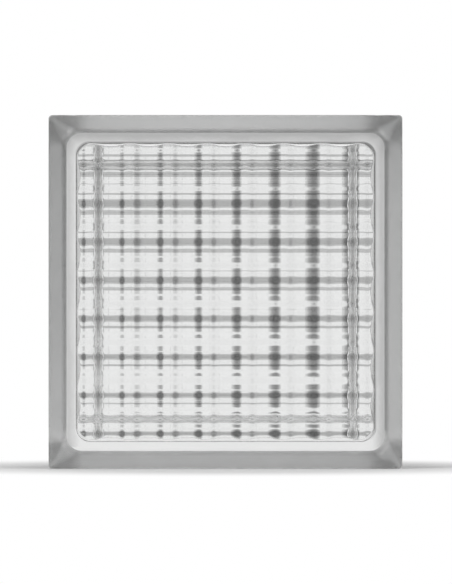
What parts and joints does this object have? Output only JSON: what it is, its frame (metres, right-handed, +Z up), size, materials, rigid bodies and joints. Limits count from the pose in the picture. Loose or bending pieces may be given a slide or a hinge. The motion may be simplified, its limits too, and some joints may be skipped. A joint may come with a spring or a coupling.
{
  "type": "glass block",
  "caption": "Hollow square clear glass building block with crossed ribs pressed inside its panes and a mortar key round its edges.",
  "frame": {"origin": "middle of the lower edge, on the surface that the block stands on", "axes": "+X to the right seen from the front, which is the pane with crossed ribs, +Y through the block to its back face, +Z up"},
  "size_m": [0.19, 0.08, 0.19],
  "materials": {
    "clear_glass": "clear pressed glass, fire-polished outside, ribbed inside"
  },
  "bodies": {
    "root": {"glass_block": "clear_glass"}
  },
  "joints": []
}
